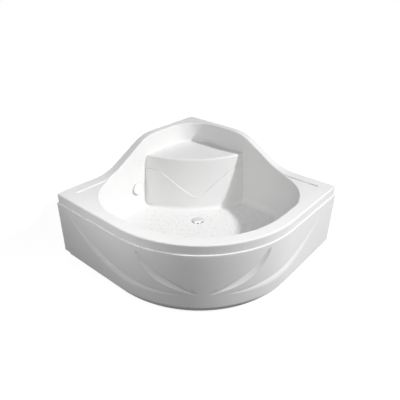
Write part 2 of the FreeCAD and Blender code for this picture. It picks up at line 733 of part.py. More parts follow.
def apron_brackets():
    """Angle brackets from the posts' tops to the underside of the apron's flange."""
    top = APRON_TOP - APRON_SHEET
    back = -TUBE / 2 - BRACKET
    brackets = []
    for spot, turn, inside in apron_post_places().values():
        reach = inside + LEDGE - APRON_SHEET - BRACKET_CLEAR
        plate = Part.makeBox(reach - back, BRACKET_W, BRACKET, V(back, -BRACKET_W / 2, top - BRACKET))
        tab = Part.makeBox(BRACKET, BRACKET_W, BRACKET_W, V(back, -BRACKET_W / 2, top - BRACKET_W))
        hole_at = V(apron_screw_reach(inside), 0, top - BRACKET)
        hole = Part.makeCylinder(SCREW_R + SCREW_CLEAR, BRACKET, hole_at)
        brackets.append(facing(plate.fuse(tab).removeSplitter().cut(hole), spot, turn))
    return Part.makeCompound(brackets)


def screw(head_down):
    """Round-headed screw with the seat of its head at the origin."""
    head = Part.makeCylinder(SCREW_HEAD_R, SCREW_HEAD)
    shank = Part.makeCylinder(SCREW_R, SCREW_BITE, V(0, 0, -SCREW_BITE))
    whole = head.fuse(shank)
    if head_down:
        whole.rotate(V(0, 0, 0), V(1, 0, 0), 180)
    return whole


def apron_screws():
    one = screw(False)
    screws = []
    for spot, turn, inside in apron_post_places().values():
        seated = one.copy()
        seated.translate(V(apron_screw_reach(inside), 0, APRON_TOP))
        screws.append(facing(seated, spot, turn))
    return Part.makeCompound(screws)


def board_screws():
    one = screw(True)
    screws = []
    for spot in board_screw_spots():
        seated = one.copy()
        seated.translate(spot + V(0, 0, RAIL_TOP - TUBE_WALL))
        screws.append(seated)
    return Part.makeCompound(screws)


def drill_apron(panel):
    """Screw holes through the apron's top flange."""
    low = APRON_TOP - APRON_SHEET
    for spot, turn, inside in apron_post_places().values():
        hole = Part.makeCylinder(SCREW_R + SCREW_CLEAR, APRON_SHEET, V(apron_screw_reach(inside), 0, low))
        panel = panel.cut(facing(hole, spot, turn))
    return panel


def foot_sockets():
    """Threaded sockets welded under the rails and posts."""
    sockets = []
    for p in feet().values():
        plate = Part.makeBox(TUBE, TUBE, SOCKET_PLATE, p + V(-TUBE / 2, -TUBE / 2, RAIL_LOW - SOCKET_PLATE))
        boss = Part.makeCylinder(SOCKET_R, SOCKET, p + V(0, 0, RAIL_LOW - SOCKET))
        hole = Part.makeCylinder(STUD_R + STUD_CLEAR, SOCKET, p + V(0, 0, RAIL_LOW - SOCKET))
        sockets.append(plate.fuse(boss).cut(hole))
    return Part.makeCompound(sockets)


def lock_nuts():
    low = RAIL_LOW - SOCKET - LOCK_NUT
    nuts = []
    for p in feet().values():
        hole = Part.makeCylinder(STUD_R + STUD_CLEAR, LOCK_NUT, p + V(0, 0, low))
        nuts.append(hexagon(NUT_ACROSS, LOCK_NUT, p + V(0, 0, low)).cut(hole))
    return Part.makeCompound(nuts)


def foot_stud(p):
    high = RAIL_LOW + STUD_ABOVE_SOCKET
    return Part.makeCylinder(STUD_R, high - STUD_LOW, p + V(0, 0, STUD_LOW))


def revolved(profile, base):
    """Solid of revolution about an upright axis through base; profile is radius and height."""
    points = [V(r, 0, z) for r, z in profile]
    body = Part.Face(Part.makePolygon(points + points[:1])).revolve(V(0, 0, 0), V(0, 0, 1), 360)
    body.translate(base)
    return body


def foot_pad(p):
    """Round plastic pad with a sloping top and a hub round the stud."""
    bore_r = STUD_R + PART_CLEAR
    profile = [
        (0, 0),
        (FOOT_PAD_R, 0),
        (FOOT_PAD_R, FOOT_EDGE),
        (FOOT_HUB_R, FOOT_PAD),
        (FOOT_HUB_R, FOOT_HUB),
        (bore_r, FOOT_HUB),
        (bore_r, STUD_LOW),
        (0, STUD_LOW),
    ]
    return revolved(profile, p)


def waste_flange():
    """Ring in the floor with a threaded throat and a three-armed guide for the plug's stem."""
    top = FLOOR_H
    inner = THROAT_R - THROAT_WALL
    profile = [
        (inner, top),
        (FLANGE_R, top),
        (FLANGE_R, top - FLANGE),
        (THROAT_R, top - FLANGE),
        (THROAT_R, THROAT_LOW),
        (inner, THROAT_LOW),
    ]
    body = revolved(profile, DRAIN)
    guide_low = THROAT_LOW + THROAT_WALL
    hub = Part.makeCylinder(STEM_R + 2 * THROAT_WALL, GUIDE, DRAIN + V(0, 0, guide_low))
    arms = []
    for k in range(3):
        arm = Part.makeBox(inner + THROAT_WALL / 2, THROAT_WALL, GUIDE, V(0, -THROAT_WALL / 2, guide_low))
        arm.rotate(V(0, 0, 0), V(0, 0, 1), 120 * k)
        arm.translate(DRAIN)
        arms.append(arm)
    body = body.fuse([hub] + arms)
    bore = Part.makeCylinder(STEM_R + GUIDE_CLEAR, GUIDE, DRAIN + V(0, 0, guide_low))
    return body.cut(bore).removeSplitter()


def plug_parts():
    """Domed plug, its seal and its stem, closed."""
    seat = FLOOR_H + PLUG_CLEAR
    under = seat + PLUG_SEAL
    rise = PLUG_DOME - PLUG_EDGE
    dome_r = (PLUG_R ** 2 + rise ** 2) / (2 * rise)
    top = under + PLUG_DOME
    crown = Part.makeSphere(dome_r, DRAIN + V(0, 0, top - dome_r))
    dome = Part.makeCylinder(PLUG_R, PLUG_DOME, DRAIN + V(0, 0, under)).common(crown)
    seal = ring(THROAT_R + PLUG_SEAL, THROAT_R - PLUG_SEAL, PLUG_SEAL, DRAIN + V(0, 0, seat))
    stem = Part.makeCylinder(STEM_R, under - STEM_LOW, DRAIN + V(0, 0, STEM_LOW))
    return {"plug_dome": dome, "plug_seal": seal, "plug_stem": stem}


def overflow_axis_point(depth):
    """Point on the overflow's axis, this far behind the face of the basin's wall."""
    return on_left_wall(Part.Vertex(0, 0, -depth)).Point


def overflow_drop():
    """Top of the overflow pipe's run: the middle of the overflow body."""
    return overflow_axis_point(SHEET + GASKET + OVERFLOW_BODY / 2)


def overflow_heading():
    """Level direction from the drain to the foot of the overflow pipe."""
    top = overflow_drop()
    flat = V(top.x - DRAIN.x, top.y - DRAIN.y, 0)
    return flat, V(flat).normalize()


def level_tube(radius, start, end):
    """Solid rod along the overflow pipe's level run, from one distance off the drain to another."""
    flat, heading = overflow_heading()
    base = DRAIN + heading * start + V(0, 0, OVERFLOW_PIPE_H)
    return Part.makeCylinder(radius, end - start, base, heading)


def waste_body():
    """Cup under the drain with a dip tube into the trap and a branch for the overflow."""
    top = UNDERSIDE - GASKET
    inner = WASTE_R - WASTE_WALL
    dip_inner = DIP_R - WASTE_WALL
    floor = WASTE_BOTTOM + WASTE_WALL
    profile = [
        (THROAT_R + PART_CLEAR, top),
        (WASTE_R + WASTE_WALL, top),
        (WASTE_R + WASTE_WALL, top - WASTE_WALL),
        (WASTE_R, top - WASTE_WALL),
        (WASTE_R, WASTE_BOTTOM),
        (DIP_R, WASTE_BOTTOM),
        (DIP_R, DIP_LOW),
        (dip_inner, DIP_LOW),
        (dip_inner, floor),
        (inner, floor),
        (inner, THROAT_LOW),
        (THROAT_R + PART_CLEAR, THROAT_LOW),
    ]
    body = revolved(profile, DRAIN)
    socket_end = WASTE_R + BRANCH
    hollow_top = Part.makeCylinder(inner, THROAT_LOW - floor, DRAIN + V(0, 0, floor))
    branch = level_tube(OVERFLOW_PIPE_R + OVERFLOW_PIPE_WALL, 0, socket_end).cut(hollow_top)
    branch = branch.cut(Part.makeCylinder(THROAT_R + PART_CLEAR, FLOOR_H, DRAIN))
    bore = level_tube(OVERFLOW_PIPE_R - OVERFLOW_PIPE_WALL, 0, socket_end)
    socket = level_tube(OVERFLOW_PIPE_R + PART_CLEAR, WASTE_R, socket_end)
    return body.fuse(branch).cut(bore).cut(socket).removeSplitter()


def outlet_place(distance):
    """Point on the outlet's axis, this far from the trap's middle."""
    middle = (WASTE_BOTTOM - PART_CLEAR + TRAP_BOTTOM) / 2
    return DRAIN + V(0, 0, middle) + OUTLET_WAY * distance


def outlet_rod(radius, start, end):
    """Solid rod along the outlet's axis."""
    return Part.makeCylinder(radius, end - start, outlet_place(start), OUTLET_WAY)


def trap_parts():
    """Low trap pot with a spigot to the side and a cap underneath."""
    top = WASTE_BOTTOM - PART_CLEAR
    pot = Part.makeCylinder(TRAP_R, top - TRAP_BOTTOM, DRAIN + V(0, 0, TRAP_BOTTOM))
    inner_r = TRAP_R - TRAP_WALL
    depth = top - TRAP_BOTTOM - 2 * TRAP_WALL
    chamber = Part.makeCylinder(inner_r, depth, DRAIN + V(0, 0, TRAP_BOTTOM + TRAP_WALL))
    mouth = Part.makeCylinder(DIP_R + PART_CLEAR, top, DRAIN)
    hatch = Part.makeCylinder(TRAP_CAP_R - TRAP_WALL, TRAP_WALL, DRAIN + V(0, 0, TRAP_BOTTOM))
    spigot = outlet_rod(SPIGOT_R, 0, TRAP_R + SPIGOT)
    way_out = outlet_rod(SPIGOT_R - PIPE_WALL, 0, TRAP_R + SPIGOT)
    pot = pot.fuse(spigot).cut([chamber, mouth, hatch, way_out]).removeSplitter()
    cap = Part.makeCylinder(TRAP_CAP_R, TRAP_CAP, DRAIN + V(0, 0, TRAP_BOTTOM - TRAP_CAP))
    plug = Part.makeCylinder(TRAP_CAP_R - TRAP_WALL - PART_CLEAR, TRAP_WALL, DRAIN + V(0, 0, TRAP_BOTTOM))
    return {"trap_pot": pot, "trap_cap": cap.fuse(plug)}


def outlet_parts():
    """Pipe from the trap towards the right-hand wall, with its seal and nut."""
    start = TRAP_R + NUT_STANDOFF
    nut_end = start + OUTLET_NUT
    end = DRAIN_BACK / ROOT2 - PIPE_TO_WALL
    collar = outlet_rod(PIPE_COLLAR_R, nut_end, nut_end + PIPE_COLLAR)
    pipe = outlet_rod(PIPE_R, start, end).fuse(collar).cut(outlet_rod(PIPE_R - PIPE_WALL, start, end))
    nut = outlet_rod(OUTLET_NUT_R, start, nut_end).cut(outlet_rod(PIPE_R + PART_CLEAR, start, nut_end))
    seal = outlet_rod(PIPE_R, TRAP_R, start).cut(outlet_rod(SPIGOT_R + PART_CLEAR, TRAP_R, start))
    return {"trap_seal": seal, "outlet_nut": nut, "outlet_pipe": pipe.removeSplitter()}


def overflow_parts():
    """Overflow on the left wall: ring and turning knob inside, body, gasket and pipe behind."""
    face = -SHEET
    flange_top = face - GASKET
    back = flange_top - OVERFLOW_BODY
    gasket = ring(OVERFLOW_BODY_R, OVERFLOW_HOLE_R, GASKET, V(0, 0, flange_top))
    throat_r = OVERFLOW_HOLE_R - PART_CLEAR
    throat_in = throat_r - THROAT_WALL
    front = ring(OVERFLOW_BODY_R, throat_in, OVERFLOW_FLANGE, V(0, 0, 0))
    throat = ring(throat_r, throat_in, OVERFLOW_THREAD, V(0, 0, -OVERFLOW_THREAD))
    body = Part.makeCylinder(OVERFLOW_BODY_R, OVERFLOW_BODY, V(0, 0, back))
    hollow = Part.makeCylinder(OVERFLOW_HOLE_R, OVERFLOW_BODY - WASTE_WALL, V(0, 0, back + WASTE_WALL))
    bearing = Part.makeCylinder(SPINDLE_R + GUIDE_CLEAR, WASTE_WALL, V(0, 0, back))
    cup = on_left_wall(body)
    drop = overflow_drop()
    down = V(0, 0, -1)
    socket_r = OVERFLOW_PIPE_R + WASTE_WALL
    socket_len = OVERFLOW_BODY_R + BRANCH
    socket = Part.makeCylinder(socket_r, socket_len, drop, down)
    bore = Part.makeCylinder(OVERFLOW_PIPE_R - OVERFLOW_PIPE_WALL, socket_len, drop, down)
    seat = Part.makeCylinder(OVERFLOW_PIPE_R + PART_CLEAR, BRANCH, drop + down * OVERFLOW_BODY_R, down)
    cup = cup.fuse(socket).cut([on_left_wall(hollow), on_left_wall(bearing), bore, seat]).removeSplitter()
    knob_low = OVERFLOW_FLANGE + KNOB_GAP
    knob = Part.makeCylinder(KNOB_R, KNOB, V(0, 0, knob_low))
    rim = [e for e in knob.Edges if e.BoundBox.ZMin > knob_low + KNOB - PART_CLEAR]
    knob = knob.makeFillet(KNOB / 2, rim)
    knob = knob.cut(Part.makeCylinder(KNOB_R - KNOB_WALL, KNOB / 2, V(0, 0, knob_low)))
    knob = knob.cut(Part.makeCylinder(SPINDLE_R + PART_CLEAR, KNOB - KNOB_WALL, V(0, 0, knob_low)))
    spindle_top = knob_low + KNOB - KNOB_WALL
    spindle = Part.makeCylinder(SPINDLE_R, spindle_top - back, V(0, 0, back))
    return {
        "overflow_gasket": on_left_wall(gasket),
        "overflow_ring": on_left_wall(front.fuse(throat).removeSplitter()),
        "overflow_body": cup,
        "overflow_knob": on_left_wall(knob),
        "overflow_spindle": on_left_wall(spindle),
        "overflow_pipe": overflow_pipe(),
    }


def overflow_pipe():
    """Rigid pipe: down behind the wall, round one bend and level to the waste body."""
    drop = overflow_drop()
    flat, heading = overflow_heading()
    top = drop + V(0, 0, -OVERFLOW_BODY_R)
    knee = V(drop.x, drop.y, OVERFLOW_PIPE_H)
    bend_in = knee + V(0, 0, OVERFLOW_BEND_R)
    bend_out = knee - heading * OVERFLOW_BEND_R
    lean = (V(0, 0, 1) - heading).normalize()
    middle = knee + lean * (OVERFLOW_BEND_R * (ROOT2 - 1))
    end = DRAIN + heading * WASTE_R + V(0, 0, OVERFLOW_PIPE_H)
    bend = Part.Arc(bend_in, middle, bend_out).toShape()
    path = Part.Wire([line(top, bend_in), bend, line(bend_out, end)])

    def rod(radius):
        section = Part.Wire([Part.Circle(top, V(0, 0, 1), radius).toShape()])
        return path.makePipeShell([section], True, False)

    return rod(OVERFLOW_PIPE_R).cut(rod(OVERFLOW_PIPE_R - OVERFLOW_PIPE_WALL))


def build():
    """Every node of the part, by name."""
    nodes = {"tray_shell": tray_shell(), "apron_panel": drill_apron(apron_panel())}
    nodes["base_board"] = base_board()
    nodes["seat_board"] = seat_board()
    nodes.update(rails())
    nodes.update(rim_posts())
    nodes.update(apron_posts())
    nodes["rim_pads"] = rim_pads()
    nodes["apron_brackets"] = apron_brackets()
    nodes["apron_screws"] = apron_screws()
    nodes["board_screws"] = board_screws()
    nodes["foot_sockets"] = foot_sockets()
    nodes["lock_nuts"] = lock_nuts()
    for name, spot in feet().items():
        nodes["foot_stud_" + name] = foot_stud(spot)
        nodes["foot_pad_" + name] = foot_pad(spot)
    nodes["waste_flange"] = waste_flange()
    upper = DRAIN + V(0, 0, FLOOR_H - FLANGE - UPPER_GASKET)
    nodes["waste_upper_gasket"] = ring(FLANGE_R, DRAIN_HOLE_R, UPPER_GASKET, upper)
    nodes["waste_lower_gasket"] = ring(WASTE_R, DRAIN_HOLE_R, GASKET, DRAIN + V(0, 0, UNDERSIDE - GASKET))
    nodes["waste_body"] = waste_body()
    nodes.update(plug_parts())
    nodes.update(trap_parts())
    nodes.update(outlet_parts())
    nodes.update(overflow_parts())
    return nodes


if __name__ == "__main__":
    os.makedirs("parts", exist_ok=True)
    for node_name, node_shape in build().items():
        save(node_name, node_shape)
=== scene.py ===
"""Looks of the quadrant shower base: finishes, apron, feet, nuts, screws, grips, welds, and the studio."""
import math

import bmesh
import bpy
from mathutils import Matrix, Vector
from mathutils.bvhtree import BVHTree


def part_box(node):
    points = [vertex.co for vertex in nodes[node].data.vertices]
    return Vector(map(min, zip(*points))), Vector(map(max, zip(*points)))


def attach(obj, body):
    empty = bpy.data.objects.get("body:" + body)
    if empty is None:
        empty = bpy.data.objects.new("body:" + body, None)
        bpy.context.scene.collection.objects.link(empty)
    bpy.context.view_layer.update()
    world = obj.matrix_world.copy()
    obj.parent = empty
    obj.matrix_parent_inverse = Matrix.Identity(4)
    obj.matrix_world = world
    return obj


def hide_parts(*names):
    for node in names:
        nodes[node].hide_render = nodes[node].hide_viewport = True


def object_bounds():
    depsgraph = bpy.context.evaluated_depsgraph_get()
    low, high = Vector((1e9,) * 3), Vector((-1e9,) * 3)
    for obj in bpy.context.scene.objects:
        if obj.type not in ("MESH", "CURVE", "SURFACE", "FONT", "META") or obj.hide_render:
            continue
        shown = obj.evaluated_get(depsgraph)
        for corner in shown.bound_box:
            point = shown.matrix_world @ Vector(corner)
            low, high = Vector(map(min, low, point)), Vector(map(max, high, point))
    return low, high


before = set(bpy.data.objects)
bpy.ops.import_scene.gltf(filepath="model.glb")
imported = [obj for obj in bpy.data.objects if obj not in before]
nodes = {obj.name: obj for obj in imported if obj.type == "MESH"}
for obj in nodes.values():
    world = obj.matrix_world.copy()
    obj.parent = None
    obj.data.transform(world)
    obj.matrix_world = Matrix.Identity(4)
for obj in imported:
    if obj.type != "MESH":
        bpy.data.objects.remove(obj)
cad_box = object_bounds()

MM = 0.001
MERGE = 1e-6        # points nearer than this, in metres, become one
FEET = ("left", "right", "front_left", "front_right", "seat_left", "seat_right", "back")


# Finishes: every texture reads the object's own coordinates, in metres

NOISE_LOW, NOISE_HIGH = 0.3, 0.7      # most of a noise texture lies between these values
CELLS_LOW, CELLS_HIGH = 0.1, 0.9      # and most of a cell pattern between these


def principled(mat):
    return next(n for n in mat.node_tree.nodes if n.type == "BSDF_PRINCIPLED")


def finish(name, metallic=0.0, ior=1.5, specular=0.5):
    """New material with the constants of its Principled shader set on the sockets."""
    mat = bpy.data.materials.new(name)
    mat.use_nodes = True
    shader = principled(mat)
    shader.inputs["Metallic"].default_value = metallic
    shader.inputs["IOR"].default_value = ior
    shader.inputs["Specular IOR Level"].default_value = specular
    return mat


def node(mat, kind, **inputs):
    """Adds a node; each input is a constant or another node's output."""
    made = mat.node_tree.nodes.new("ShaderNode" + kind)
    for key, value in inputs.items():
        socket = made.inputs[key.replace("_", " ")]
        if isinstance(value, bpy.types.NodeSocket):
            mat.node_tree.links.new(value, socket)
        else:
            socket.default_value = value
    return made


def place(mat, stretch):
    """Object coordinates, scaled along each axis."""
    spot = node(mat, "TexCoord").outputs["Object"]
    return node(mat, "Mapping", Vector=spot, Scale=stretch).outputs["Vector"]


def noise(mat, scale, detail=3.0, stretch=(1, 1, 1), distortion=0.0):
    """Noise with about that many features in a metre."""
    spot = place(mat, stretch)
    made = node(mat, "TexNoise", Vector=spot, Scale=scale, Detail=detail, Distortion=distortion)
    return made.outputs["Fac"]


def cells(mat, scale, stretch=(1, 1, 1)):
    """Random grey for each cell of a Voronoi pattern."""
    made = node(mat, "TexVoronoi", Vector=place(mat, stretch), Scale=scale)
    return made.outputs["Color"]


def spread(mat, fac, low, high):
    """A noise stretched to the range from low to high."""
    made = node(
        mat, "MapRange", Value=fac, From_Min=NOISE_LOW, From_Max=NOISE_HIGH, To_Min=low, To_Max=high)
    return made.outputs["Result"]


def tint(mat, fac, colours, start=NOISE_LOW, stop=NOISE_HIGH):
    """Colour ramp over evenly spaced stops."""
    made = node(mat, "ValToRGB", Fac=fac)
    stops = made.color_ramp.elements
    while len(stops) < len(colours):
        stops.new(0.5)
    for k, colour in enumerate(colours):
        stops[k].position = start + (stop - start) * k / (len(colours) - 1)
        stops[k].color = (*colour, 1.0)
    return made.outputs["Color"]


def wear(mat, colour, roughness, height=None, depth=0.0):
    """Feeds colour, roughness and a bump of that depth in metres to the shader."""
    shader = principled(mat)
    links = mat.node_tree.links
    links.new(colour, shader.inputs["Base Color"])
    links.new(roughness, shader.inputs["Roughness"])
    if height is not None:
        bump = node(mat, "Bump", Strength=1.0, Distance=depth, Height=height)
        links.new(bump.outputs["Normal"], shader.inputs["Normal"])
    return mat


def acrylic():
    """White sheet with a soft sheen, slightly uneven from the mould, with faint wiping haze."""
    mat = finish("acrylic", ior=1.49, specular=0.07)
    colour = tint(mat, noise(mat, 3.0), [(0.81, 0.81, 0.806), (0.84, 0.84, 0.838)])
    haze = spread(mat, noise(mat, 7.0, 2.0), 0.29, 0.34)
    return wear(mat, colour, haze, noise(mat, 9.0, 1.0), 0.1 * MM)


def fibreglass():
    """Sprayed glass fibre and resin on the hidden side of the acrylic."""
    mat = finish("fibreglass", ior=1.52)
    strands = noise(mat, 60.0, 6.0, distortion=5.0)
    colour = tint(mat, strands, [(0.42, 0.42, 0.36), (0.6, 0.6, 0.53), (0.74, 0.74, 0.69)])
    return wear(mat, colour, spread(mat, strands, 0.35, 0.7), strands, 1.2 * MM)


def moulded_plastic(name, dark, light, low, high, grain):
    """Plastic between two colours and two roughnesses, with a fine grain."""
    mat = finish(name)
    colour = tint(mat, noise(mat, 18.0), [dark, light])
    fine = noise(mat, grain, 2.0)
    return wear(mat, colour, spread(mat, noise(mat, 45.0, 5.0), low, high), fine, 0.12 * MM)


def white_plastic():
    return moulded_plastic("white_plastic", (0.84, 0.84, 0.835), (0.88, 0.88, 0.88), 0.16, 0.25, 300.0)


def foot_plastic():
    return moulded_plastic("foot_plastic", (0.02, 0.02, 0.022), (0.04, 0.04, 0.043), 0.45, 0.65, 1200.0)


def pipe_plastic():
    return moulded_plastic("pipe_plastic", (0.5, 0.51, 0.52), (0.58, 0.59, 0.6), 0.35, 0.5, 900.0)


def chrome():
    """Polished, with faint smudges."""
    mat = finish("chrome", metallic=1.0)
    colour = tint(mat, noise(mat, 30.0), [(0.84, 0.85, 0.86), (0.91, 0.915, 0.92)])
    smudge = spread(mat, noise(mat, 70.0, 6.0, distortion=1.0), 0.05, 0.2)
    return wear(mat, colour, smudge, noise(mat, 120.0, 2.0), 0.02 * MM)


def rubber():
    mat = finish("rubber", ior=1.45)
    colour = tint(mat, noise(mat, 90.0), [(0.02, 0.02, 0.02), (0.055, 0.054, 0.052)])
    return wear(mat, colour, spread(mat, noise(mat, 200.0), 0.6, 0.85), noise(mat, 900.0), 0.1 * MM)


def chipboard():
    mat = finish("chipboard")
    chips = cells(mat, 190.0, (1.0, 1.9, 1.0))
    browns = [(0.26, 0.16, 0.075), (0.46, 0.32, 0.17), (0.62, 0.47, 0.29)]
    colour = tint(mat, chips, browns, CELLS_LOW, CELLS_HIGH)
    return wear(mat, colour, spread(mat, noise(mat, 160.0), 0.6, 0.9), chips, 0.4 * MM)


def primer_steel():
    """Square tube in grey primer, with thin patches."""
    mat = finish("primer_steel", metallic=0.25)
    patches = noise(mat, 9.0, 8.0, distortion=0.6)
    colour = tint(mat, patches, [(0.17, 0.18, 0.19), (0.24, 0.25, 0.265), (0.31, 0.32, 0.33)])
    dull = spread(mat, noise(mat, 60.0, 6.0), 0.38, 0.62)
    return wear(mat, colour, dull, noise(mat, 350.0, 4.0), 0.1 * MM)


def zinc():
    """Zinc plate with spangles."""
    mat = finish("zinc", metallic=1.0)
    greys = [(0.46, 0.49, 0.53), (0.58, 0.6, 0.63), (0.66, 0.67, 0.66)]
    colour = tint(mat, cells(mat, 240.0), greys, CELLS_LOW, CELLS_HIGH)
    return wear(mat, colour, spread(mat, noise(mat, 150.0, 5.0), 0.25, 0.5), noise(mat, 700.0), 0.05 * MM)


def brass():
    """Turned brass with fine rings."""
    mat = finish("brass", metallic=1.0)
    colour = tint(mat, noise(mat, 40.0, 5.0), [(0.46, 0.32, 0.12), (0.66, 0.49, 0.22)])
    turned = noise(mat, 60.0, 2.0, (1.0, 1.0, 25.0))
    return wear(mat, colour, spread(mat, turned, 0.18, 0.38), turned, 0.05 * MM)


def bead_metal():
    """Weld metal: dull, with straw heat colours."""
    mat = finish("weld", metallic=0.9)
    colour = tint(mat, noise(mat, 140.0, 4.0), [(0.2, 0.19, 0.2), (0.33, 0.31, 0.29), (0.38, 0.33, 0.25)])
    return wear(mat, colour, spread(mat, noise(mat, 400.0), 0.35, 0.6), noise(mat, 900.0), 0.1 * MM)


FINISHES = {
    "acrylic": acrylic(),
    "white_plastic": white_plastic(),
    "chrome": chrome(),
    "rubber": rubber(),
    "board": chipboard(),
    "foot_plastic": foot_plastic(),
    "pipe_plastic": pipe_plastic(),
    "brass": brass(),
    "zinc_steel": zinc(),
    "frame_steel": primer_steel(),
}
for cad in nodes.values():
    slot = cad.data.materials[0].name.split(".")[0]
    cad.data.materials[0] = FINISHES[slot]


# The hidden side of the shell and the apron shows its glass fibre backing

RAY_START = 0.2 * MM                  # rays leave a face from this far outside it
# Points above the basin from which all of its inside is seen
LOOKOUTS = (Vector((0, -0.3, 1.2)), Vector((0, 0.2, 1.2)))
DOWNWARD, INWARD = -0.5, 0.3          # limits of a normal for faces behind the apron

BACKING = fibreglass()
shell = nodes["tray_shell"]
shell_tree = BVHTree.FromPolygons(
    [v.co for v in shell.data.vertices], [tuple(p.vertices) for p in shell.data.polygons])


def back_with_fibreglass(obj, hidden):
    """Gives the glass fibre to each face for which hidden(middle, normal) is true."""
    obj.data.materials.append(BACKING)
    for face in obj.data.polygons:
        face.material_index = 1 if hidden(face.center, face.normal) else 0


def under_shell(middle, normal):
    """True where the shell itself hides the sky and both lookouts."""
    start = middle + normal * RAY_START
    ways = [Vector((0, 0, 1))] + [(spot - start).normalized() for spot in LOOKOUTS]
    return all(shell_tree.ray_cast(start, way)[0] is not None for way in ways)


def behind_apron(middle, normal):
    """True where a face of the apron looks down or towards the middle of the base."""
    low, high = cad_box
    inside = Vector((0, (low.y + high.y) / 2, middle.z)) - middle
    return normal.z < DOWNWARD or normal.dot(inside.normalized()) > INWARD


back_with_fibreglass(shell, under_shell)


# Tools for the detail pieces

THREAD_SHARES = (0.0, 0.4, 0.55, 0.95)    # root, both edges of the crest, and root, along a pitch
CUT_SLACK = 1e-7


def piece(name, bm, body, slot, replaces=(), material=None, sharp=35.0):
    """Turns a bmesh into a smooth-shaded piece that rides on a body."""
    bmesh.ops.remove_doubles(bm, verts=bm.verts, dist=MERGE)
    bmesh.ops.recalc_face_normals(bm, faces=bm.faces)
    mesh = bpy.data.meshes.new(name)
    bm.to_mesh(mesh)
    bm.free()
    for face in mesh.polygons:
        face.use_smooth = True
    mesh.set_sharp_from_angle(angle=math.radians(sharp))
    mesh.materials.append(material or FINISHES[slot])
    obj = bpy.data.objects.new(name, mesh)
    bpy.context.scene.collection.objects.link(obj)
    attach(obj, body)
    if replaces:
        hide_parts(*replaces)
    return obj


def lathe(bm, profile, where, steps, closed=False):
    """Turns profile(turn), a list of radius and height, about the Z axis of a place."""
    rings = []
    for k in range(steps):
        turn = 2 * math.pi * k / steps
        ring = [(r * math.cos(turn), r * math.sin(turn), z) for r, z in profile(turn)]
        rings.append([bm.verts.new(where @ Vector(p)) for p in ring])
    for here, after in zip(rings, rings[1:] + rings[:1]):
        for i in range(len(here) if closed else len(here) - 1):
            j = (i + 1) % len(here)
            bm.faces.new((here[i], after[i], after[j], here[j]))


def upright(node_name):
    """Place of an upright round node: its middle, at its lowest height."""
    low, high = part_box(node_name)
    return Matrix.Translation(((low.x + high.x) / 2, (low.y + high.y) / 2, low.z))


def thread(bm, where, length, crest, root, pitch, steps):
    """Threaded rod whose rows of points follow the helix, cut square at both ends."""
    others = set(bm.verts)
    rows = []
    for turn_number in range(-1, int(length / pitch) + 2):
        for r, share in zip((root, crest, crest, root), THREAD_SHARES):
            row = []
            for k in range(steps):
                turn = 2 * math.pi * k / steps
                z = (turn_number + share) * pitch + pitch * k / steps
                row.append(bm.verts.new(where @ Vector((r * math.cos(turn), r * math.sin(turn), z))))
            rows.append(row)
    per_turn = len(THREAD_SHARES)
    for i in range(len(rows) - 1):
        for k in range(steps - 1):
            bm.faces.new((rows[i][k], rows[i][k + 1], rows[i + 1][k + 1], rows[i + 1][k]))
        if i + per_turn + 1 < len(rows):
            bm.faces.new((rows[i][-1], rows[i + per_turn][0], rows[i + per_turn + 1][0], rows[i + 1][-1]))
    up = where.to_3x3() @ Vector((0, 0, 1))
    for height, side in ((0.0, -1), (length, 1)):
        verts = [v for v in bm.verts if v not in others]
        edges = {e for v in verts for e in v.link_edges}
        faces = {f for v in verts for f in v.link_faces}
        cut = bmesh.ops.bisect_plane(
            bm, geom=verts + list(edges) + list(faces), dist=CUT_SLACK,
            plane_co=where @ Vector((0, 0, height)), plane_no=up * side, clear_outer=True)
        edges = [e for e in cut["geom_cut"] if isinstance(e, bmesh.types.BMEdge)]
        bmesh.ops.contextual_create(bm, geom=edges)


def islands(obj):
    """Lowest and highest corner of each separate solid of a node."""
    bm = bmesh.new()
    bm.from_mesh(obj.data)
    bmesh.ops.remove_doubles(bm, verts=bm.verts, dist=MERGE)
    waiting = set(bm.verts)
    boxes = []
    while waiting:
        group = [waiting.pop()]
        for vert in group:
            for edge in vert.link_edges:
                other = edge.other_vert(vert)
                if other in waiting:
                    waiting.remove(other)
                    group.append(other)
        low = Vector([min(v.co[k] for v in group) for k in range(3)])
        high = Vector([max(v.co[k] for v in group) for k in range(3)])
        boxes.append((low, high))
    bm.free()
    return sorted(boxes, key=lambda box: tuple(box[0]))


# Apron: the CAD panel's outline and section, in millimetres, with its swept forms as gouged hollows

APRON_R = 556.0
APRON_STRAIGHT = 447.0                # straight end beside a wall
APRON_HALF_ARC = APRON_R * math.pi / 4
APRON_END = APRON_HALF_ARC + APRON_STRAIGHT
APRON_TOP, APRON_SHEET, APRON_FLANGE = 323.0, 4.0, 26.0
LEDGE_ROUND, LEDGE_STEPS = 3.0, 5
TOE_H, TOE_SET_BACK, TOE_CLEAR = 38.0, 18.0, 4.0
TOE_SHORT = 9.0                       # the toe's ends, short of the apron's
END_RETURN = 25.0                     # flanges along the walls
TOE_LAP, RETURN_LAP = 0.5, 0.1        # how far these bands go into the sheet
BAND_EASE = 0.8
STATION = 5.0                         # spacing of the sections along the face
APRON_SHARP = 28.0                    # sharp edges turn by more than this, in degrees
# Routes on a half of the face, by distance from the middle and height
OUTER_ROUTE = [(765.0, 286.0), (560.0, 120.0), (380.0, 125.0), (100.0, 108.0)]
INNER_ROUTE = [(308.0, 296.0), (235.0, 190.0), (150.0, 165.0), (30.0, 114.0)]
ROUTE_MIDDLE = -22.0                  # the four routes are mirrored about this line, left of the middle
